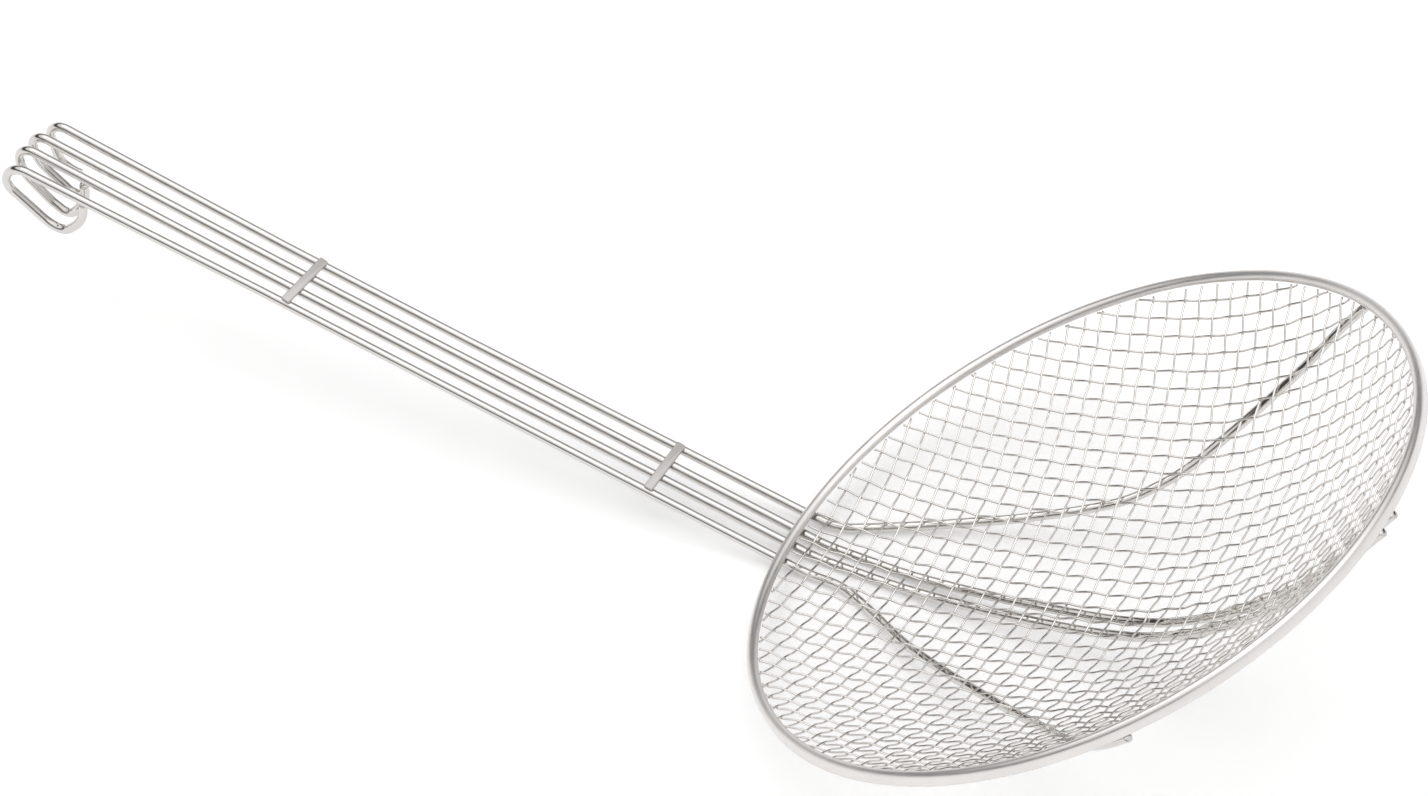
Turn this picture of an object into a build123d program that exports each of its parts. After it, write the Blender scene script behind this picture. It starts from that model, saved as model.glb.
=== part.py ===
from build123d import *
import math
import os

os.makedirs("parts", exist_ok=True)

# Spider skimmer: a shallow woven-wire bowl in a folded sheet rim, carried by four
# round wires. Each wire is one piece from end to end: hanging hook, handle, rib
# under the bowl, and a short stub that pokes out past the rim.
#
# Lengths are in millimetres. The shape is written in the rim's own frame (origin
# at the centre of the rim circle, X away from the handle, Y to the far side, Z out
# of the bowl) and that frame is tilted as the skimmer lies on a table.

# --- driving dimensions -----------------------------------------------------------
RIM_DIAMETER = 254.0  # over the folded band, ten inches
BAND_WIDTH = 4.0  # radial width of the folded band
BAND_TOP = 2.3  # crest of the fold above the rim plane
BAND_SKIRT = -2.7  # lower edge of the outer leg
BAND_LIP = -0.2  # lower edge of the inner leg
BAND_SHEET = 0.6
HOOP_DIAMETER = 2.4  # wire hoop inside the fold

BOWL_DEPTH = 47.0  # from the rim plane to the middle of the weave
BOWL_FLATTENING = 4.5  # the handle side of the bowl runs straighter

ROD_DIAMETER = 3.4
ROD_PITCH = 7.28
HANDLE_RISE = 39.84  # angle between the handle and the rim plane, in degrees
HANDLE_DROP = 5.1  # rod axis under the rim plane where it passes the rim
ROD_TO_WEAVE = 2.95  # rod axis under the middle of the weave

BAR_LENGTH = 23.4
BAR_WIDTH = 3.3
BAR_THICKNESS = 1.2
FRONT_BAR_AT = 54.7  # along the handle, from the rim
REAR_BAR_AT = 196.6
FRONT_BAR_SKEW = 3.2
REAR_BAR_SKEW = 8.0

MESH_WIRE = 0.8
MESH_GAP = 0.05  # between two wires where they cross
LENGTHWISE_TURN = 4.0  # the weave sits a few degrees off the handle line
CROSSWISE_TURN = -1.0
LENGTHWISE_COUNT = 19.5  # wires per rim radius at the middle of the bowl
CROSSWISE_COUNT = 19.3
CROSSWISE_SPREAD = 2.2  # cells open up a little toward the far end
MESH_RADIUS = 123.25  # wire ends, clamped inside the band

REST_TILT = 27.8  # rim plane to table
REST_HEIGHT = 66.013  # centre of the rim circle above the table
REST_SHIFT = 148.64  # and along X, so that the whole is centred on the origin

# --- derived dimensions -----------------------------------------------------------
RIM_RADIUS = (RIM_DIAMETER - BAND_WIDTH) / 2
ROD_RADIUS = ROD_DIAMETER / 2
RISE = math.radians(HANDLE_RISE)

tilt = math.radians(REST_TILT)
rim_plane = Plane(
    origin=(REST_SHIFT, 0, REST_HEIGHT),
    x_dir=(math.cos(tilt), 0, math.sin(tilt)),
    z_dir=(-math.sin(tilt), 0, math.cos(tilt)),
)


def dish_z(x, y):
    """Height of the middle of the weave over the rim plane."""
    u = min(max(-x / RIM_RADIUS, 0.0), 0.9)
    lift = BOWL_FLATTENING * math.sin(math.pi * u / 0.9) * (1 - math.exp(-u / 0.08))
    return -(BOWL_DEPTH - lift) * (1 - (x * x + y * y) / RIM_RADIUS**2)


def dish_stretch(x, y):
    """Vertical distance that a unit distance square to the bowl takes up."""
    e = 0.01
    zx = (dish_z(x + e, y) - dish_z(x - e, y)) / (2 * e)
    zy = (dish_z(x, y + e) - dish_z(x, y - e)) / (2 * e)
    return math.sqrt(1 + zx * zx + zy * zy)


def smooth_radii(points, largest):
    """A bend radius for each inner corner, as wide as its two runs allow."""
    radii = []
    vectors = [Vector(*b) - Vector(*a) for a, b in zip(points[:-1], points[1:])]
    for a, b in zip(vectors[:-1], vectors[1:]):
        turn = math.radians(a.get_angle(b))
        reach = 0.46 * min(a.length, b.length)
        radii.append(min(largest, reach / math.tan(max(turn, 1e-4) / 2)))
    return radii


def along_handle(s, n, y):
    """A point in the rim's frame from its place s along the handle, n above its axis."""
    return (
        -RIM_RADIUS - s * math.cos(RISE) + n * math.sin(RISE),
        y,
        -HANDLE_DROP + s * math.sin(RISE) + n * math.cos(RISE),
    )


# --- the four rods ----------------------------------------------------------------
# The hook of a rod, as corners (s, n, sideways, bend radius) from its tip. The two
# near hooks close up under their own rod, the two far ones are open and shorter.
HOOKS = {
    "far_outer": [
        (288.6, -19.1, 0.40, None),
        (296.3, -20.6, 0.35, 8.5),
        (303.6, -5.0, 0.15, 5.7),
        (300.2, 0.6, 0.05, 5.5),
    ],
    "far_inner": [
        (284.3, -13.1, 0.50, None),
        (283.1, -17.6, 0.45, 3.9),
        (287.1, -20.8, 0.35, 3.9),
        (304.4, -12.0, 0.15, 13.1),
        (306.8, 0.8, 0.05, 5.3),
    ],
    "near_inner": [
        (281.5, -3.2, 0.50, None),
        (279.3, -9.0, 0.45, 14.5),
        (283.9, -22.6, 0.40, 4.0),
        (291.9, -19.4, 0.30, 10.0),
        (306.0, -10.7, 0.15, 12.3),
        (307.2, 1.8, 0.05, 5.4),
    ],
    "near_outer": [
        (277.6, -2.3, 0.50, None),
        (276.5, -11.4, 0.45, 16.2),
        (281.8, -20.8, 0.40, 5.3),
        (287.8, -21.1, 0.30, 11.3),
        (307.7, -11.1, 0.15, 6.1),
        (305.6, 0.1, 0.05, 6.8),
    ],
}
FAN_FROM = 206.0  # along the handle; from here the rods stand a little apart
FOOT_BEND = 47.0  # where a rod turns from the handle under the bowl, at most
FAN_LENGTH = 103.0


def rod_path(name, handle_y, hook_fan, rim_spread, tip):
    """Corners and bend radii of one rod, from the tip of its hook to its rib end."""
    points = [
        along_handle(s, n, handle_y + side + hook_fan * (s - FAN_FROM) / FAN_LENGTH)
        for s, n, side, _ in HOOKS[name]
    ]
    radii = [r for *_, r in HOOKS[name] if r is not None]
    points.append(along_handle(REAR_BAR_AT + 11, -0.1, handle_y))
    radii.append(400.0)
    points.append(along_handle(REAR_BAR_AT - 60, -0.3, handle_y))
    points.append(along_handle(-7.2, 0, handle_y + rim_spread))
    radii += smooth_radii(points[-3:], 400.0)
    # the two inner rods hang a little lower where they leave the rim and run straight there
    slack = 1.0 if "outer" in name else 1.5
    rib = []
    for x, y in plans[name]:
        drop = slack * min(max((-0.6 * RIM_RADIUS - x) / (0.38 * RIM_RADIUS), 0.0), 1.0)
        rib.append((x, y, dish_z(x, y) - ROD_TO_WEAVE * dish_stretch(x, y) - drop))
    rib.append(tip)
    bends = smooth_radii(points[-2:] + rib, 220.0)
    bends[0] = min(bends[0], FOOT_BEND)
    return points + rib, radii + bends


FAR_OUTER_PLAN = [
    (-108.0, 17.6),
    (-96.0, 24.1),
    (-84.0, 29.9),
    (-66.0, 37.1),
    (-45.0, 45.6),
    (-29.5, 52.4),
    (-12.0, 65.5),
    (8.5, 83.8),
    (29.2, 97.0),
    (46.0, 107.0),
]
FAR_INNER_PLAN = [
    (-92.0, 3.25),
    (-75.0, 3.4),
    (-56.0, 3.5),
    (-37.5, 3.6),
    (-18.5, 3.6),
    (1.5, 3.6),
    (19.0, 3.7),
    (38.0, 3.9),
    (58.0, 4.2),
    (76.0, 4.5),
    (97.0, 5.1),
    (114.0, 5.5),
]
NEAR_INNER_PLAN = [
    (-92.0, -3.2),
    (-75.0, -3.35),
    (-56.0, -3.5),
    (-37.5, -3.6),
    (-18.5, -3.65),
    (1.5, -3.6),
    (19.0, -3.5),
    (38.0, -3.4),
    (58.0, -3.3),
    (76.0, -3.2),
    (97.0, -3.0),
    (114.0, -2.9),
]
NEAR_OUTER_PLAN = [
    (-108.0, -11.2),
    (-100.0, -14.7),
    (-90.0, -20.3),
    (-79.0, -27.1),
    (-64.2, -34.2),
    (-48.0, -41.0),
    (-24.0, -51.3),
    (-4.0, -60.0),
    (14.0, -71.0),
    (36.0, -84.5),
    (56.0, -95.3),
]
plans = {
    "far_outer": FAR_OUTER_PLAN,
    "far_inner": FAR_INNER_PLAN,
    "near_inner": NEAR_INNER_PLAN,
    "near_outer": NEAR_OUTER_PLAN,
}
# Each rib ends under the band, at its tip.
rod_corners = {
    "far_outer": rod_path("far_outer", 1.5 * ROD_PITCH, 1.2, 0.8, (56.5, 112.2, -4.9)),
    "far_inner": rod_path("far_inner", 0.5 * ROD_PITCH, 0.45, -0.35, (125.2, 5.75, -4.8)),
    "near_inner": rod_path("near_inner", -0.5 * ROD_PITCH, -0.4, 0.35, (125.2, -2.8, -5.1)),
    "near_outer": rod_path("near_outer", -1.5 * ROD_PITCH, -1.2, -0.3, (72.6, -102.1, -4.8)),
}

with BuildPart() as far_outer_rod:
    with BuildLine(rim_plane) as far_outer_path:
        FilletPolyline(*rod_corners["far_outer"][0], radius=rod_corners["far_outer"][1])
    with BuildSketch(Plane(far_outer_path.line @ 0, z_dir=far_outer_path.line % 0)):
        Circle(ROD_RADIUS)
    sweep()
far_outer_rod.part.label = "far_outer_rod"

with BuildPart() as far_inner_rod:
    with BuildLine(rim_plane) as far_inner_path:
        FilletPolyline(*rod_corners["far_inner"][0], radius=rod_corners["far_inner"][1])
    with BuildSketch(Plane(far_inner_path.line @ 0, z_dir=far_inner_path.line % 0)):
        Circle(ROD_RADIUS)
    sweep()
far_inner_rod.part.label = "far_inner_rod"

with BuildPart() as near_inner_rod:
    with BuildLine(rim_plane) as near_inner_path:
        FilletPolyline(
            *rod_corners["near_inner"][0], radius=rod_corners["near_inner"][1]
        )
    with BuildSketch(Plane(near_inner_path.line @ 0, z_dir=near_inner_path.line % 0)):
        Circle(ROD_RADIUS)
    sweep()
near_inner_rod.part.label = "near_inner_rod"

with BuildPart() as near_outer_rod:
    with BuildLine(rim_plane) as near_outer_path:
        FilletPolyline(
            *rod_corners["near_outer"][0], radius=rod_corners["near_outer"][1]
        )
    with BuildSketch(Plane(near_outer_path.line @ 0, z_dir=near_outer_path.line % 0)):
        Circle(ROD_RADIUS)
    sweep()
near_outer_rod.part.label = "near_outer_rod"

# --- the rim ----------------------------------------------------------------------
# Sheet folded over the hoop: a round top, a long outer leg and a short inner leg.
rim_axis = Axis(rim_plane.origin, rim_plane.z_dir)
rim_section = Plane(rim_plane.origin, x_dir=rim_plane.x_dir, z_dir=-rim_plane.y_dir)
fold_radius = BAND_WIDTH / 2
fold_z = BAND_TOP - fold_radius

# Notches where the rods pass under the band, as (start, end) of a straight cut. The
# foot of each rod has 7 rib corners or more after it, and one handle corner before it.
notches = []
for name, (corners, _) in rod_corners.items():
    k = len(HOOKS[name]) + 2
    before, foot, after = (Vector(*corners[k + i]) for i in (-1, 0, 1))
    notches.append((foot + (before - foot).normalized() * 12, foot + (after - foot) * 0.5))

with BuildPart() as rim_band:
    with BuildSketch(rim_section):
        with BuildLine():
            outside = CenterArc((RIM_RADIUS, fold_z), fold_radius, 0, 180)
            inner_leg = Polyline(
                outside @ 1,
                (RIM_RADIUS - fold_radius, BAND_LIP),
                (RIM_RADIUS - fold_radius + BAND_SHEET, BAND_LIP),
                (RIM_RADIUS - fold_radius + BAND_SHEET, fold_z),
            )
            inside = CenterArc((RIM_RADIUS, fold_z), fold_radius - BAND_SHEET, 180, -180)
            outer_leg = Polyline(
                inside @ 1,
                (RIM_RADIUS + fold_radius - BAND_SHEET, BAND_SKIRT),
                (RIM_RADIUS + fold_radius, BAND_SKIRT),
                outside @ 0,
            )
        make_face()
    revolve(axis=rim_axis)
    for start, end in notches:
        with BuildLine(rim_plane) as notch_line:
            Line(tuple(start), tuple(end))
        with BuildSketch(Plane(notch_line.line @ 0, z_dir=notch_line.line % 0)):
            Circle(ROD_RADIUS + 0.06)
        sweep(mode=Mode.SUBTRACT)
rim_band.part.label = "rim_band"

with BuildPart() as rim_hoop:
    with BuildSketch(rim_section):
        with Locations((RIM_RADIUS, fold_z)):
            Circle(HOOP_DIAMETER / 2)
    revolve(axis=rim_axis)
rim_hoop.part.label = "rim_hoop"


# --- the cross bars ---------------------------------------------------------------
def bar_plane(s, skew):
    """A plane on top of the rods, X along the bar, Z away from the rods."""
    origin = along_handle(s, ROD_RADIUS + 0.02, 0)
    a = math.radians(skew)
    back = (-math.cos(RISE), 0, math.sin(RISE))
    up = (math.sin(RISE), 0, math.cos(RISE))
    x_dir = (
        -back[0] * math.sin(a),
        math.cos(a),
        -back[2] * math.sin(a),
    )
    place = rim_plane.location * Plane(origin, x_dir=x_dir, z_dir=up).location
    return Plane(place)


with BuildPart() as front_cross_bar:
    with BuildSketch(bar_plane(FRONT_BAR_AT, FRONT_BAR_SKEW)):
        RectangleRounded(BAR_LENGTH, BAR_WIDTH, 0.6)
    extrude(amount=BAR_THICKNESS)
    fillet(front_cross_bar.faces().sort_by(Axis.Z)[-1].edges(), 0.3)
front_cross_bar.part.label = "front_cross_bar"

with BuildPart() as rear_cross_bar:
    with BuildSketch(bar_plane(REAR_BAR_AT, REAR_BAR_SKEW)):
        RectangleRounded(BAR_LENGTH, BAR_WIDTH, 0.6)
    extrude(amount=BAR_THICKNESS)
    fillet(rear_cross_bar.faces().sort_by(Axis.Z)[-1].edges(), 0.3)
rear_cross_bar.part.label = "rear_cross_bar"


# --- the weave --------------------------------------------------------------------
def stations(density):
    """Signed distances from the middle at which the running count is a whole number."""
    places = [0.0]
    for sign in (1, -1):
        count, u, step = 0.0, 0.0, 0.02
        next_one = 1
        while abs(u) < MESH_RADIUS + 8:
            u += sign * step
            count += density(u) * step
            if count >= next_one:
                places.append(u)
                next_one += 1
    return sorted(places)


def slope_stretch(u):
    """Extra wires per length of plan where the bowl wall is steeper."""
    return math.sqrt(1 + (2 * BOWL_DEPTH * u / RIM_RADIUS**2) ** 2)


lengthwise_at = stations(lambda u: LENGTHWISE_COUNT / RIM_RADIUS * slope_stretch(u))
crosswise_at = stations(
    lambda u: (CROSSWISE_COUNT - CROSSWISE_SPREAD * u / RIM_RADIUS)
    / RIM_RADIUS
    * slope_stretch(u)
)
turn_a = math.radians(LENGTHWISE_TURN)
turn_b = math.radians(CROSSWISE_TURN)
along_a = (math.cos(turn_a), math.sin(turn_a))
square_a = (-math.sin(turn_a), math.cos(turn_a))
along_b = (-math.sin(turn_b), math.cos(turn_b))
square_b = (math.cos(turn_b), math.sin(turn_b))
CREST = (MESH_WIRE + MESH_GAP) / 2
CRIMP_RADIUS = 3.2


def crimped(at, square, along, others, other_square, parity):
    """Corners of one crimped wire: over and under the wires that it crosses."""
    half = math.sqrt(MESH_RADIUS**2 - at * at)
    lift_of = []
    for k, other in enumerate(others):
        # the crossing lies at `at` along `square` and `other` along `other_square`
        det = along[0] * other_square[0] + along[1] * other_square[1]
        v = (other - at * (square[0] * other_square[0] + square[1] * other_square[1])) / det
        if abs(v) < half - 1.2:
            lift_of.append((v, 1 if (k + parity) % 2 else -1))
    pitch = 6.1
    points = []
    for v, side in lift_of:
        x, y = square[0] * at + along[0] * v, square[1] * at + along[1] * v
        # the corner stands a little past the crest that its bend leaves
        lean = 4 * CREST / pitch * dish_stretch(x, y)
        rise = CREST * dish_stretch(x, y) + CRIMP_RADIUS * (
            math.sqrt(1 + lean * lean / 4) - 1
        )
        points.append((x, y, dish_z(x, y) + side * rise))
    for end in (-half, half):
        x, y = square[0] * at + along[0] * end, square[1] * at + along[1] * end
        spot = (x, y, dish_z(x, y))
        points = [spot] + points if end < 0 else points + [spot]
    return points


def woven_wire(corners):
    """One round wire along its crimped line."""
    with BuildPart() as wire:
        with BuildLine(rim_plane) as strand:
            FilletPolyline(*corners, radius=CRIMP_RADIUS)
        with BuildSketch(Plane(strand.line @ 0, z_dir=strand.line % 0)):
            Circle(MESH_WIRE / 2)
        sweep()
    return wire.part


lengthwise_wires = [
    woven_wire(crimped(at, square_a, along_a, crosswise_at, square_b, j))
    for j, at in enumerate(lengthwise_at)
    if abs(at) <= MESH_RADIUS - 2.5
]
crosswise_wires = [
    woven_wire(crimped(at, square_b, along_b, lengthwise_at, square_a, k + 1))
    for k, at in enumerate(crosswise_at)
    if abs(at) <= MESH_RADIUS - 2.5
]
SIDE_WIRES = 15  # how many of each direction's wires stand in each outer group

with BuildPart() as mesh_lengthwise_near:
    add(lengthwise_wires[:SIDE_WIRES])
mesh_lengthwise_near.part.label = "mesh_lengthwise_near"

with BuildPart() as mesh_lengthwise_middle:
    add(lengthwise_wires[SIDE_WIRES:-SIDE_WIRES])
mesh_lengthwise_middle.part.label = "mesh_lengthwise_middle"

with BuildPart() as mesh_lengthwise_far:
    add(lengthwise_wires[-SIDE_WIRES:])
mesh_lengthwise_far.part.label = "mesh_lengthwise_far"

with BuildPart() as mesh_crosswise_back:
    add(crosswise_wires[:SIDE_WIRES])
mesh_crosswise_back.part.label = "mesh_crosswise_back"

with BuildPart() as mesh_crosswise_middle:
    add(crosswise_wires[SIDE_WIRES:-SIDE_WIRES])
mesh_crosswise_middle.part.label = "mesh_crosswise_middle"

with BuildPart() as mesh_crosswise_front:
    add(crosswise_wires[-SIDE_WIRES:])
mesh_crosswise_front.part.label = "mesh_crosswise_front"

export_step(far_outer_rod.part, "parts/far_outer_rod.step")
export_step(far_inner_rod.part, "parts/far_inner_rod.step")
export_step(near_inner_rod.part, "parts/near_inner_rod.step")
export_step(near_outer_rod.part, "parts/near_outer_rod.step")
export_step(rim_band.part, "parts/rim_band.step")
export_step(rim_hoop.part, "parts/rim_hoop.step")
export_step(front_cross_bar.part, "parts/front_cross_bar.step")
export_step(rear_cross_bar.part, "parts/rear_cross_bar.step")
export_step(mesh_lengthwise_near.part, "parts/mesh_lengthwise_near.step")
export_step(mesh_lengthwise_middle.part, "parts/mesh_lengthwise_middle.step")
export_step(mesh_lengthwise_far.part, "parts/mesh_lengthwise_far.step")
export_step(mesh_crosswise_back.part, "parts/mesh_crosswise_back.step")
export_step(mesh_crosswise_middle.part, "parts/mesh_crosswise_middle.step")
export_step(mesh_crosswise_front.part, "parts/mesh_crosswise_front.step")

# --- report ------------------------------------------------------------------------
pieces = [
    far_outer_rod,
    far_inner_rod,
    near_inner_rod,
    near_outer_rod,
    rim_band,
    rim_hoop,
    front_cross_bar,
    rear_cross_bar,
    mesh_lengthwise_near,
    mesh_lengthwise_middle,
    mesh_lengthwise_far,
    mesh_crosswise_back,
    mesh_crosswise_middle,
    mesh_crosswise_front,
]
for piece in pieces:
    print(
        piece.part.label,
        len(piece.part.solids()),
        round(piece.part.volume, 1),
        piece.part.is_valid,
    )
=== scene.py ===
import math
import random

import bpy
from mathutils import Matrix, Vector

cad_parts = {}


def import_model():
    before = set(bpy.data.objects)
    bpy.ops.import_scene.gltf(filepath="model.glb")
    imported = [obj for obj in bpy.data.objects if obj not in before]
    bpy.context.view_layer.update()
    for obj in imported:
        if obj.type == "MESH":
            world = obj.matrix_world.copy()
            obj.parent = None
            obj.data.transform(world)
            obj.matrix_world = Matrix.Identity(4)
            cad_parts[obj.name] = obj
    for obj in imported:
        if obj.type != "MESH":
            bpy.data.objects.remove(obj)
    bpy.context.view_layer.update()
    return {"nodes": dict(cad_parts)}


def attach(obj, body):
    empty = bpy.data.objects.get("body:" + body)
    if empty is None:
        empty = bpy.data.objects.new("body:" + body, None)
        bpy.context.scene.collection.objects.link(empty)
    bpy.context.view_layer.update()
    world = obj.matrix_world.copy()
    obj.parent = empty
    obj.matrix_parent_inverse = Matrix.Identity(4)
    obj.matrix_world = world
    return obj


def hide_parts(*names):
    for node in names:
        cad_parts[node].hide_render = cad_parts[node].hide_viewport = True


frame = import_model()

MM = 0.001

# --- the rim's own frame, as the skimmer lies on the table ----------------------------
RIM_R = 125.0
TILT = math.radians(27.8)
HEIGHT = 66.013
SHIFT = 148.64
TO_WORLD = Matrix(
    (
        (math.cos(TILT), 0, -math.sin(TILT), SHIFT),
        (0, 1, 0, 0),
        (math.sin(TILT), 0, math.cos(TILT), HEIGHT),
        (0, 0, 0, 1),
    )
)


def world(p):
    """A point of the rim's frame in mm, as a point of the row's frame in metres."""
    return (TO_WORLD @ Vector(p)) * MM


# --- camera ---------------------------------------------------------------------------
right = Vector((0.77574, 0.45178, -0.44061))
down = Vector((-0.02676, -0.67402, -0.73823))
forward = Vector((-0.63049, 0.58446, -0.51077))
away = (1.00339326, 0.33996485, 43.36928318)
spot = -(right * away[0] + down * away[1] + forward * away[2]) * RIM_R
turn = TO_WORLD.to_3x3()
cam_data = bpy.data.cameras.new("camera")
cam_data.sensor_fit = "HORIZONTAL"
cam_data.sensor_width = 36.0
cam_data.lens = 16000.0 / 1428.0 * 36.0
cam_data.clip_start = 0.5
cam_data.clip_end = 60.0
camera = bpy.data.objects.new("camera", cam_data)
bpy.context.scene.collection.objects.link(camera)
camera.matrix_world = Matrix.Translation(world(spot)) @ Matrix(
    (turn @ right, turn @ -down, turn @ -forward)
).transposed().to_4x4()
bpy.context.scene.camera = camera


# --- shapes ---------------------------------------------------------------------------
def new_object(name, verts, faces, uvs=None, smooth=True):
    mesh = bpy.data.meshes.new(name)
    mesh.from_pydata(verts, [], faces)
    if uvs is not None:
        layer = mesh.uv_layers.new(name="along")
        k = 0
        for corner in uvs:
            for uv in corner:
                layer.data[k].uv = uv
                k += 1
    for poly in mesh.polygons:
        poly.use_smooth = smooth
    mesh.update()
    obj = bpy.data.objects.new(name, mesh)
    bpy.context.scene.collection.objects.link(obj)
    return obj


def tube_into(verts, faces, uvs, line, radius, sides, first_side=None, flat_ends=True):
    """Adds a round wire along line, a list of points in metres, to verts and faces.

    radius is one number or one for each point."""
    n = len(line)
    tangents = []
    for i in range(n):
        a, b = line[max(i - 1, 0)], line[min(i + 1, n - 1)]
        tangents.append((b - a).normalized())
    side = first_side or tangents[0].orthogonal()
    side = (side - tangents[0] * side.dot(tangents[0])).normalized()
    start = len(verts)
    length = 0.0
    lengths = []
    for i in range(n):
        if i:
            length += (line[i] - line[i - 1]).length
            side = (side - tangents[i] * side.dot(tangents[i])).normalized()
        other = tangents[i].cross(side)
        lengths.append(length)
        r = radius[i] if isinstance(radius, list) else radius
        for k in range(sides):
            a = 2 * math.pi * k / sides
            verts.append(line[i] + side * (r * math.cos(a)) + other * (r * math.sin(a)))
    for i in range(n - 1):
        for k in range(sides):
            k2 = (k + 1) % sides
            faces.append(
                (
                    start + i * sides + k,
                    start + i * sides + k2,
                    start + (i + 1) * sides + k2,
                    start + (i + 1) * sides + k,
                )
            )
            u0, u1 = lengths[i] * 100, lengths[i + 1] * 100
            v0, v1 = k / sides, (k + 1) / sides
            uvs.append(((u0, v0), (u0, v1), (u1, v1), (u1, v0)))
    if flat_ends:
        faces.append(tuple(start + k for k in reversed(range(sides))))
        uvs.append(tuple((0.0, k / sides) for k in range(sides)))
        last = start + (n - 1) * sides
        faces.append(tuple(last + k for k in range(sides)))
        uvs.append(tuple((length * 100, k / sides) for k in range(sides)))


def bent(points, radii, step):
    """Points along straight runs joined by tangent arcs, about step apart on the arcs."""
    points = [Vector(p) for p in points]
    out = [points[0]]
    for i in range(1, len(points) - 1):
        a, p, b = points[i - 1], points[i], points[i + 1]
        back, on = (a - p).normalized(), (b - p).normalized()
        turn_by = math.pi - back.angle(on)
        if turn_by < 1e-4:
            out.append(p)
            continue
        r = radii[i - 1]
        reach = r * math.tan(turn_by / 2)
        begin, end = p + back * reach, p + on * reach
        middle = (back + on).normalized() * (r / math.cos(turn_by / 2)) + p
        count = max(2, int(math.ceil(r * turn_by / step)))
        u, w = begin - middle, end - middle
        for k in range(count + 1):
            f = k / count
            s = math.sin(turn_by)
            out.append(
                middle
                + u * (math.sin((1 - f) * turn_by) / s)
                + w * (math.sin(f * turn_by) / s)
            )
    out.append(points[-1])
    # straight runs get points too, so that shading along them stays even
    full = [out[0]]
    for a, b in zip(out[:-1], out[1:]):
        gap = (b - a).length
        if gap < 1e-6:
            continue
        for k in range(1, int(gap / (6 * step)) + 1):
            full.append(a.lerp(b, k / (int(gap / (6 * step)) + 1)))
        full.append(b)
    return full


# --- the bowl's surface ----------------------------------------------------------------
DEPTH = 47.0
FLATTENING = 4.5


def dish_z(x, y):
    u = min(max(-x / RIM_R, 0.0), 0.9)
    lift = FLATTENING * math.sin(math.pi * u / 0.9) * (1 - math.exp(-u / 0.08))
    return -(DEPTH - lift) * (1 - (x * x + y * y) / RIM_R**2)


def dish_normal(x, y):
    e = 0.05
    zx = (dish_z(x + e, y) - dish_z(x - e, y)) / (2 * e)
    zy = (dish_z(x, y + e) - dish_z(x, y - e)) / (2 * e)
    return Vector((-zx, -zy, 1)).normalized()


# --- rods ------------------------------------------------------------------------------
ROD = 1.7
PITCH = 7.28
RISE = math.radians(39.84)
DROP = 5.1
REAR_BAR_AT = 196.6
FRONT_BAR_AT = 54.7
ROD_TO_WEAVE = 2.95


def along_handle(s, n, y):
    return (
        -RIM_R - s * math.cos(RISE) + n * math.sin(RISE),
        y,
        -DROP + s * math.sin(RISE) + n * math.cos(RISE),
    )


HOOKS = {
    "far_outer": [
        (288.6, -19.1, 0.40, None), (296.3, -20.6, 0.35, 8.5),
        (303.6, -5.0, 0.15, 5.7), (300.2, 0.6, 0.05, 5.5),
    ],
    "far_inner": [
        (284.3, -13.1, 0.50, None), (283.1, -17.6, 0.45, 3.9),
        (287.1, -20.8, 0.35, 3.9), (304.4, -12.0, 0.15, 13.1),
        (306.8, 0.8, 0.05, 5.3),
    ],
    "near_inner": [
        (281.5, -3.2, 0.50, None), (279.3, -9.0, 0.45, 14.5),
        (283.9, -22.6, 0.40, 4.0), (291.9, -19.4, 0.30, 10.0),
        (306.0, -10.7, 0.15, 12.3), (307.2, 1.8, 0.05, 5.4),
    ],
    "near_outer": [
        (277.6, -2.3, 0.50, None), (276.5, -11.4, 0.45, 16.2),
        (281.8, -20.8, 0.40, 5.3), (287.8, -21.1, 0.30, 11.3),
        (307.7, -11.1, 0.15, 6.1), (305.6, 0.1, 0.05, 6.8),
    ],
}


def smooth_radii(points, largest):
    radii = []
    runs = [Vector(b) - Vector(a) for a, b in zip(points[:-1], points[1:])]
    for a, b in zip(runs[:-1], runs[1:]):
        reach = 0.46 * min(a.length, b.length)
        radii.append(min(largest, reach / math.tan(max(a.angle(b), 1e-4) / 2)))
    return radii


def rod_line(name, handle_y, hook_fan, rim_spread, tip):
    points = [
        along_handle(s, n, handle_y + side + hook_fan * (s - 206) / 103)
        for s, n, side, _ in HOOKS[name]
    ]
    radii = [r for *_, r in HOOKS[name] if r is not None] + [400.0]
    points.append(along_handle(REAR_BAR_AT + 11, -0.1, handle_y))
    points.append(along_handle(REAR_BAR_AT - 60, -0.3, handle_y))
    points.append(along_handle(-7.2, 0, handle_y + rim_spread))
    radii += smooth_radii(points[-3:], 400.0)
    slack = 1.0 if "outer" in name else 1.5
    rib = []
    for x, y in PLANS[name]:
        drop = slack * min(max((-0.6 * RIM_R - x) / (0.38 * RIM_R), 0.0), 1.0)
        stretch = 1 / dish_normal(x, y).z
        rib.append((x, y, dish_z(x, y) - ROD_TO_WEAVE * stretch - drop))
    rib.append(tip)
    bends = smooth_radii(points[-2:] + rib, 220.0)
    bends[0] = min(bends[0], 47.0)
    return bent(points + rib, radii + bends, 0.7)


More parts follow.
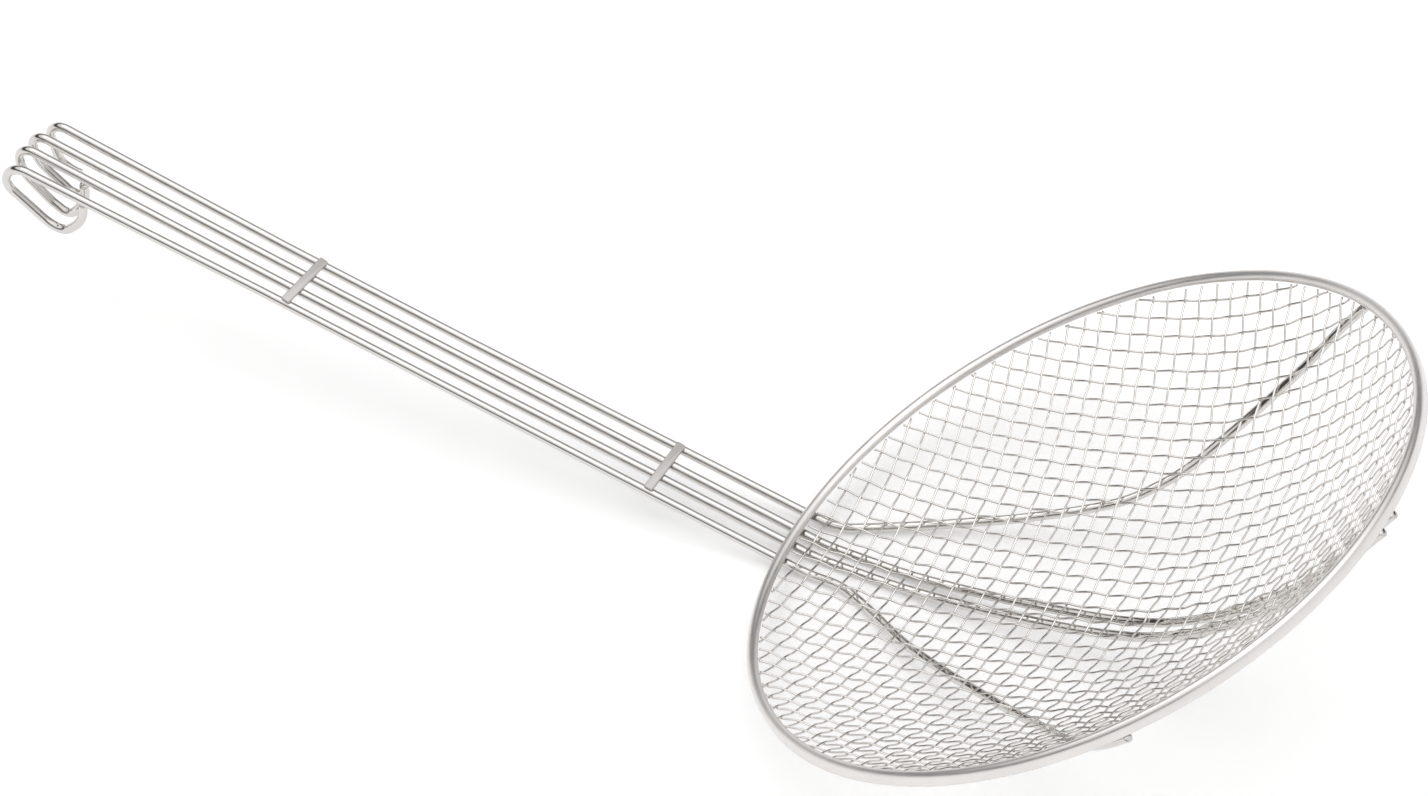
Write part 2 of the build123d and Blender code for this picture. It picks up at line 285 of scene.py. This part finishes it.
PLANS = {
    "far_outer": [
        (-108.0, 17.6), (-96.0, 24.1), (-84.0, 29.9), (-66.0, 37.1), (-45.0, 45.6),
        (-29.5, 52.4), (-12.0, 65.5), (8.5, 83.8), (29.2, 97.0), (46.0, 107.0),
    ],
    "far_inner": [
        (-92.0, 3.25), (-75.0, 3.4), (-56.0, 3.5), (-37.5, 3.6),
        (-18.5, 3.6), (1.5, 3.6), (19.0, 3.7), (38.0, 3.9), (58.0, 4.2), (76.0, 4.5),
        (97.0, 5.1), (114.0, 5.5),
    ],
    "near_inner": [
        (-92.0, -3.2), (-75.0, -3.35), (-56.0, -3.5), (-37.5, -3.6),
        (-18.5, -3.65), (1.5, -3.6), (19.0, -3.5), (38.0, -3.4), (58.0, -3.3),
        (76.0, -3.2), (97.0, -3.0), (114.0, -2.9),
    ],
    "near_outer": [
        (-108.0, -11.2), (-100.0, -14.7), (-90.0, -20.3), (-79.0, -27.1),
        (-64.2, -34.2), (-48.0, -41.0), (-24.0, -51.3), (-4.0, -60.0), (14.0, -71.0),
        (36.0, -84.5), (56.0, -95.3),
    ],
}
RODS = {
    "far_outer": (1.5 * PITCH, 1.2, 0.8, (56.5, 112.2, -4.9)),
    "far_inner": (0.5 * PITCH, 0.45, -0.35, (125.2, 5.75, -4.8)),
    "near_inner": (-0.5 * PITCH, -0.4, 0.35, (125.2, -2.8, -5.1)),
    "near_outer": (-1.5 * PITCH, -1.2, -0.3, (72.6, -102.1, -4.8)),
}


def rod(name):
    line = rod_line(name, *RODS[name])
    # cut ends have a small broken edge
    first, last = line[0], line[-1]
    d0, d1 = (line[1] - first).normalized(), (line[-2] - last).normalized()
    line = [first, first + d0 * 0.18, first + d0 * 0.45] + line[1:]
    line = line[:-1] + [last + d1 * 0.45, last + d1 * 0.18, last]
    radii = [ROD] * len(line)
    radii[0] = radii[-1] = ROD - 0.3
    radii[1] = radii[-2] = ROD - 0.08
    verts, faces, uvs = [], [], []
    tube_into(
        verts, faces, uvs, [world(p) for p in line], [r * MM for r in radii], 32,
        first_side=Vector((0, 1, 0)),
    )
    obj = new_object(name + "_wire", verts, faces, uvs)
    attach(obj, "root")
    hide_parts(name + "_rod")
    return obj


rods = [rod(name) for name in RODS]


# --- rim -------------------------------------------------------------------------------
BAND = 4.0
TOP = 2.3
SKIRT = -2.7
LIP = -0.2
SHEET = 0.6


def band_section():
    """Outline of the folded sheet, as (out from the ring's centre line, up)."""
    half, fold_z = BAND / 2, TOP - BAND / 2
    outline = []
    for k in range(0, 25):
        a = math.pi * k / 24
        outline.append((half * math.cos(a), fold_z + half * math.sin(a)))
    outline += [(-half, LIP + 0.25), (-half + 0.08, LIP + 0.05), (-half + 0.3, LIP)]
    outline += [(-half + SHEET - 0.05, LIP + 0.06), (-half + SHEET, LIP + 0.3)]
    for k in range(0, 13):
        a = math.pi - math.pi * k / 12
        outline.append(
            ((half - SHEET) * math.cos(a), fold_z + (half - SHEET) * math.sin(a))
        )
    outline += [(half - SHEET, SKIRT + 0.3), (half - SHEET + 0.05, SKIRT + 0.06)]
    outline += [(half - 0.3, SKIRT), (half - 0.08, SKIRT + 0.05), (half, SKIRT + 0.25)]
    return outline


def rim_band():
    outline = band_section()
    around = 720
    verts, faces, uvs = [], [], []
    m = len(outline)
    for i in range(around):
        a = 2 * math.pi * i / around
        # the hand-rolled fold is not perfectly even
        swell = 0.10 * math.sin(7 * a + 0.7) + 0.07 * math.sin(17 * a + 2.1)
        lean = 0.12 * math.sin(3 * a + 1.3)
        for out, up in outline:
            r = RIM_R + out + 0.5 * swell * (1 if up < 0 else 0.4) + lean * 0.3
            verts.append(
                world((r * math.cos(a), r * math.sin(a), up + 0.25 * swell + lean))
            )
    for i in range(around):
        j = (i + 1) % around
        for k in range(m):
            k2 = (k + 1) % m
            faces.append((i * m + k, j * m + k, j * m + k2, i * m + k2))
            u0, u1 = i / around * 78.5, (i + 1) / around * 78.5
            uvs.append(((u0, k / m), (u1, k / m), (u1, (k + 1) / m), (u0, (k + 1) / m)))
    obj = new_object("rim_sheet", verts, faces, uvs)
    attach(obj, "root")
    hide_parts("rim_band")
    return obj


rim = rim_band()


# --- weave -----------------------------------------------------------------------------
WIRE = 0.8
CREST = 0.425
MESH_R = 123.25
turn_a, turn_b = math.radians(4.0), math.radians(-1.0)


def stations(density):
    places = [0.0]
    for sign in (1, -1):
        count, u, next_one = 0.0, 0.0, 1
        while abs(u) < MESH_R + 8:
            u += sign * 0.02
            count += density(u) * 0.02
            if count >= next_one:
                places.append(u)
                next_one += 1
    return sorted(places)


def steeper(u):
    return math.sqrt(1 + (2 * DEPTH * u / RIM_R**2) ** 2)


lengthwise_at = stations(lambda u: 19.5 / RIM_R * steeper(u))
crosswise_at = stations(lambda u: (19.3 - 2.2 * u / RIM_R) / RIM_R * steeper(u))
along_a = Vector((math.cos(turn_a), math.sin(turn_a)))
square_a = Vector((-math.sin(turn_a), math.cos(turn_a)))
along_b = Vector((-math.sin(turn_b), math.cos(turn_b)))
square_b = Vector((math.cos(turn_b), math.sin(turn_b)))

rng = random.Random(7)
waves = [
    (
        rng.uniform(0.02, 0.055),
        rng.uniform(0, 2 * math.pi),
        rng.uniform(0, 2 * math.pi),
        rng.uniform(0, 2 * math.pi),
        rng.uniform(0.10, 0.22),
    )
    for _ in range(10)
]


def wander(x, y):
    """The small smooth unevenness of a woven cloth that was pressed to a bowl."""
    dx = dy = dz = 0.0
    for freq, heading, phase_x, phase_y, size in waves:
        t = freq * (x * math.cos(heading) + y * math.sin(heading))
        dx += size * math.sin(t + phase_x)
        dy += size * math.sin(t + phase_y)
        dz += 0.6 * size * math.sin(1.3 * t + phase_x - phase_y)
    fade = max(0.0, 1 - (math.hypot(x, y) / MESH_R) ** 6)
    return dx * fade, dy * fade, dz * fade


def crossing(a_at, b_at):
    """The plan point where a lengthwise and a crosswise wire meet."""
    det = square_a.x * square_b.y - square_a.y * square_b.x
    x = (a_at * square_b.y - b_at * square_a.y) / det
    y = (square_a.x * b_at - square_b.x * a_at) / det
    return x, y


jitter = {}


def node_point(j, k):
    """Crossing (j, k) on the bowl, with the bowl's normal there."""
    if (j, k) not in jitter:
        x, y = crossing(lengthwise_at[j], crosswise_at[k])
        dx, dy, dz = wander(x, y)
        jx, jy = rng.uniform(-0.1, 0.1), rng.uniform(-0.1, 0.1)
        x, y = x + dx + jx, y + dy + jy
        jitter[(j, k)] = (x, y, dz)
    x, y, dz = jitter[(j, k)]
    return Vector((x, y, dish_z(x, y) + dz)), dish_normal(x, y)


def strand(own, family):
    """Centre line of one wire, lifted and lowered along the bowl's normal where it crosses
    the other wires.
    """
    others = crosswise_at if family == "a" else lengthwise_at
    at = (lengthwise_at if family == "a" else crosswise_at)[own]
    square, along = (square_a, along_a) if family == "a" else (square_b, along_b)
    if abs(at) > MESH_R - 2.5:
        return None
    half = math.sqrt(MESH_R**2 - at * at)
    knots = []
    for other in range(len(others)):
        j, k = (own, other) if family == "a" else (other, own)
        x, y = crossing(lengthwise_at[j], crosswise_at[k])
        v = x * along.x + y * along.y
        if abs(v) < half - 1.2:
            p, n = node_point(j, k)
            over = 1 if (j + k) % 2 else -1
            if family == "b":
                over = -over
            knots.append((v, p, n, over))
    knots.sort(key=lambda q: q[0])
    ends = []
    for sign in (-1, 1):
        x, y = (square * at + along * (half * sign)).to_tuple()
        ends.append((Vector((x, y, dish_z(x, y))), dish_normal(x, y)))
    knots = [(-half, *ends[0], 0)] + knots + [(half, *ends[1], 0)]
    line = []
    count = len(knots)
    for i in range(count - 1):
        p0 = knots[max(i - 1, 0)][1]
        p1, p2 = knots[i][1], knots[i + 1][1]
        p3 = knots[min(i + 2, count - 1)][1]
        h1, h2 = knots[i][3], knots[i + 1][3]
        steps = 8 if (p2 - p1).length > 3 else 4
        for s in range(steps):
            t = s / steps
            q = 0.5 * (
                2 * p1
                + (p2 - p0) * t
                + (2 * p0 - 5 * p1 + 4 * p2 - p3) * t * t
                + (3 * p1 - 3 * p2 + p3 - p0) * t * t * t
            )
            n = knots[i][2].lerp(knots[i + 1][2], t).normalized()
            c = 0.5 - 0.5 * math.cos(math.pi * t)
            line.append(q + n * (CREST * (h1 + (h2 - h1) * c)))
    line.append(knots[-1][1])
    return line


def weave(family, name, nodes):
    verts, faces, uvs = [], [], []
    stations_here = lengthwise_at if family == "a" else crosswise_at
    for own in range(len(stations_here)):
        line = strand(own, family)
        if line:
            tube_into(
                verts, faces, uvs, [world(p) for p in line], WIRE / 2 * MM, 10
            )
    obj = new_object(name, verts, faces, uvs)
    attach(obj, "root")
    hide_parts(*nodes)
    return obj


lengthwise = weave(
    "a",
    "lengthwise_weave",
    ("mesh_lengthwise_near", "mesh_lengthwise_middle", "mesh_lengthwise_far"),
)
crosswise = weave(
    "b",
    "crosswise_weave",
    ("mesh_crosswise_back", "mesh_crosswise_middle", "mesh_crosswise_front"),
)


# --- materials -------------------------------------------------------------------------
def steel(name, color, rough, streak, bump, mottle=0.03, along=1.0):
    """Drawn or rolled bright steel: fine lines along the piece and a faint mottle."""
    mat = bpy.data.materials.new(name)
    mat.use_nodes = True
    nodes, links = mat.node_tree.nodes, mat.node_tree.links
    shader = nodes["Principled BSDF"]
    shader.inputs["Metallic"].default_value = 1.0
    uv = nodes.new("ShaderNodeUVMap")
    uv.uv_map = "along"
    lines = nodes.new("ShaderNodeMapping")
    lines.inputs["Scale"].default_value = (0.6 * along, streak, 1.0)
    links.new(uv.outputs["UV"], lines.inputs["Vector"])
    fine = nodes.new("ShaderNodeTexNoise")
    fine.inputs["Scale"].default_value = 6.0
    fine.inputs["Detail"].default_value = 5.0
    links.new(lines.outputs["Vector"], fine.inputs["Vector"])
    place = nodes.new("ShaderNodeTexCoord")
    cloud = nodes.new("ShaderNodeTexNoise")
    cloud.inputs["Scale"].default_value = 55.0
    cloud.inputs["Detail"].default_value = 3.0
    links.new(place.outputs["Object"], cloud.inputs["Vector"])
    tone = nodes.new("ShaderNodeValToRGB")
    tone.color_ramp.elements[0].position = 0.3
    tone.color_ramp.elements[1].position = 0.7
    low = [c * (1 - mottle) for c in color]
    high = [min(1.0, c * (1 + mottle)) for c in color]
    tone.color_ramp.elements[0].color = (*low, 1)
    tone.color_ramp.elements[1].color = (*high, 1)
    links.new(cloud.outputs["Fac"], tone.inputs["Fac"])
    links.new(tone.outputs["Color"], shader.inputs["Base Color"])
    spread = nodes.new("ShaderNodeMapRange")
    spread.inputs["From Min"].default_value = 0.25
    spread.inputs["From Max"].default_value = 0.75
    spread.inputs["To Min"].default_value = rough * 0.75
    spread.inputs["To Max"].default_value = rough * 1.3
    links.new(fine.outputs["Fac"], spread.inputs["Value"])
    links.new(spread.outputs["Result"], shader.inputs["Roughness"])
    relief = nodes.new("ShaderNodeBump")
    relief.inputs["Strength"].default_value = bump
    relief.inputs["Distance"].default_value = 0.0001
    links.new(fine.outputs["Fac"], relief.inputs["Height"])
    links.new(relief.outputs["Normal"], shader.inputs["Normal"])
    return mat


rod_steel = steel("rod_steel", (0.66, 0.64, 0.62), 0.07, 9.0, 0.07)
rim_steel = steel("rim_steel", (0.74, 0.715, 0.695), 0.32, 14.0, 0.3, along=0.4)
bar_steel = steel("bar_steel", (0.52, 0.505, 0.49), 0.34, 8.0, 0.3)
wire_steel = steel("wire_steel", (0.71, 0.685, 0.66), 0.12, 4.0, 0.08)


def finish_with(obj, mat):
    obj.data.materials.clear()
    obj.data.materials.append(mat)


for o in rods:
    finish_with(o, rod_steel)
finish_with(rim, rim_steel)
finish_with(lengthwise, wire_steel)
finish_with(crosswise, wire_steel)


# --- cross bars --------------------------------------------------------------------------
def cross_bar(name, node, s, skew):
    """A flat strip laid over the rods, with rounded corners and a pressed edge."""
    length, width, thick = 23.4, 3.3, 1.2
    a = math.radians(skew)
    back = Vector((-math.cos(RISE), 0, math.sin(RISE)))
    up = Vector((math.sin(RISE), 0, math.cos(RISE)))
    ex = Vector((0, 1, 0)) * math.cos(a) - back * math.sin(a)
    ey = up.cross(ex)
    origin = Vector(along_handle(s, ROD + 0.02, 0))
    verts, faces, uvs = [], [], []
    corner = 0.6
    outline = []
    for cx, cy, a0 in (
        (1, 1, 0), (-1, 1, 90), (-1, -1, 180), (1, -1, 270),
    ):
        for k in range(5):
            b = math.radians(a0 + 22.5 * k)
            outline.append((cx, cy, math.cos(b), math.sin(b)))
    rings = [(0.0, 0.0), (thick - 0.3, 0.0), (thick - 0.13, 0.06), (thick - 0.03, 0.17)]
    rings += [(thick, 0.32)]
    for z, inset in rings:
        for cx, cy, c, sn in outline:
            x = cx * (length / 2 - corner) + c * (corner - inset * 0.9)
            y = cy * (width / 2 - corner) + sn * (corner - inset * 0.9)
            x -= cx * inset * 0.1
            y -= cy * inset * 0.1
            verts.append(world(origin + ex * x + ey * y + up * z))
    m = len(outline)
    for i in range(len(rings) - 1):
        for k in range(m):
            k2 = (k + 1) % m
            faces.append((i * m + k, i * m + k2, (i + 1) * m + k2, (i + 1) * m + k))
            uvs.append(((k / 4, i), (k2 / 4, i), (k2 / 4, i + 1), (k / 4, i + 1)))
    for ring, order in ((0, -1), (len(rings) - 1, 1)):
        ids = list(range(m))[::order]
        faces.append(tuple(ring * m + k for k in ids))
        flat = [
            (outline[k][0] * 1.2 + outline[k][2], outline[k][1] * 0.2 + outline[k][3] / 6)
            for k in ids
        ]
        uvs.append(tuple(flat))
    obj = new_object(name, verts, faces, uvs, smooth=True)
    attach(obj, "root")
    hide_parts(node)
    finish_with(obj, bar_steel)
    return obj


front_bar = cross_bar("front_strip", "front_cross_bar", FRONT_BAR_AT, 3.2)
rear_bar = cross_bar("rear_strip", "rear_cross_bar", REAR_BAR_AT, 8.0)

hoop_object = frame["nodes"]["rim_hoop"]
hoop_mat = bpy.data.materials.new("hoop_steel")
hoop_mat.use_nodes = True
hoop_nodes, hoop_links = hoop_mat.node_tree.nodes, hoop_mat.node_tree.links
hoop_shader = hoop_nodes["Principled BSDF"]
hoop_shader.inputs["Metallic"].default_value = 1.0
hoop_noise = hoop_nodes.new("ShaderNodeTexNoise")
hoop_noise.inputs["Scale"].default_value = 400.0
hoop_place = hoop_nodes.new("ShaderNodeTexCoord")
hoop_links.new(hoop_place.outputs["Object"], hoop_noise.inputs["Vector"])
hoop_ramp = hoop_nodes.new("ShaderNodeValToRGB")
hoop_ramp.color_ramp.elements[0].color = (0.5, 0.49, 0.48, 1)
hoop_ramp.color_ramp.elements[1].color = (0.62, 0.61, 0.6, 1)
hoop_links.new(hoop_noise.outputs["Fac"], hoop_ramp.inputs["Fac"])
hoop_links.new(hoop_ramp.outputs["Color"], hoop_shader.inputs["Base Color"])
hoop_shader.inputs["Roughness"].default_value = 0.35
finish_with(hoop_object, hoop_mat)


# --- floor and light ------------------------------------------------------------------
floor = new_object(
    "floor",
    [Vector(p) for p in ((-6, -6, 0), (6, -6, 0), (6, 6, 0), (-6, 6, 0))],
    [(0, 1, 2, 3)],
    smooth=False,
)
floor_mat = bpy.data.materials.new("floor_paper")
floor_mat.use_nodes = True
floor_shader = floor_mat.node_tree.nodes["Principled BSDF"]
floor_shader.inputs["Base Color"].default_value = (0.93, 0.93, 0.93, 1)
floor_shader.inputs["Roughness"].default_value = 1.0
floor_shader.inputs["Specular IOR Level"].default_value = 0.0
floor_shader.inputs["Emission Color"].default_value = (1.0, 1.0, 1.0, 1)
floor_shader.inputs["Emission Strength"].default_value = 0.2
finish_with(floor, floor_mat)

ROOM, CEILING = 0.08, 1.0
world_data = bpy.data.worlds.new("studio")
bpy.context.scene.world = world_data
world_data.use_nodes = True
sky, sky_links = world_data.node_tree.nodes, world_data.node_tree.links
background = sky["Background"]
background.inputs["Strength"].default_value = 1.0
# A white table below, a dim room around it and a wide white ceiling of light above.
heading = sky.new("ShaderNodeTexCoord")
parts = sky.new("ShaderNodeSeparateXYZ")
sky_links.new(heading.outputs["Generated"], parts.inputs["Vector"])
heights = sky.new("ShaderNodeValToRGB")
steps = [
    (0.0, 1.0), (0.17, 1.0), (0.24, ROOM), (0.5, ROOM), (0.64, CEILING), (1.0, CEILING),
]
ramp = heights.color_ramp
ramp.elements[0].position, ramp.elements[1].position = steps[0][0], steps[-1][0]
ramp.elements[0].color = (steps[0][1],) * 3 + (1,)
ramp.elements[1].color = (steps[-1][1],) * 3 + (1,)
for at, level in steps[1:-1]:
    stop = ramp.elements.new(at)
    stop.color = (level, level, level, 1)
sky_links.new(parts.outputs["Z"], heights.inputs["Fac"])
# A bright wall beyond the bowl's far end.
wall = sky.new("ShaderNodeMapRange")
wall.inputs["From Min"].default_value = 0.52
wall.inputs["From Max"].default_value = 0.78
wall.inputs["To Min"].default_value = 0.0
wall.inputs["To Max"].default_value = 0.9
sky_links.new(parts.outputs["X"], wall.inputs["Value"])
brighter = sky.new("ShaderNodeMath")
brighter.operation = "MAXIMUM"
sky_links.new(heights.outputs["Color"], brighter.inputs[0])
sky_links.new(wall.outputs["Result"], brighter.inputs[1])
sky_links.new(brighter.outputs["Value"], background.inputs["Color"])


def soft_light(name, where, target, size_x, size_y, radiance):
    light = bpy.data.lights.new(name, "AREA")
    light.shape = "RECTANGLE"
    light.size, light.size_y = size_x, size_y
    light.energy = radiance * math.pi * size_x * size_y
    obj = bpy.data.objects.new(name, light)
    bpy.context.scene.collection.objects.link(obj)
    obj.location = where
    obj.rotation_euler = (
        (Vector(target) - Vector(where)).to_track_quat("-Z", "Y").to_euler()
    )
    return obj


soft_light("overhead_softbox", (0.0, 0.1, 1.5), (0.0, 0.1, 0.0), 2.2, 1.2, 0.8)

bpy.context.scene.view_settings.view_transform = "Standard"
bpy.context.scene.view_settings.look = "None"
bpy.context.scene.view_settings.exposure = 0.0
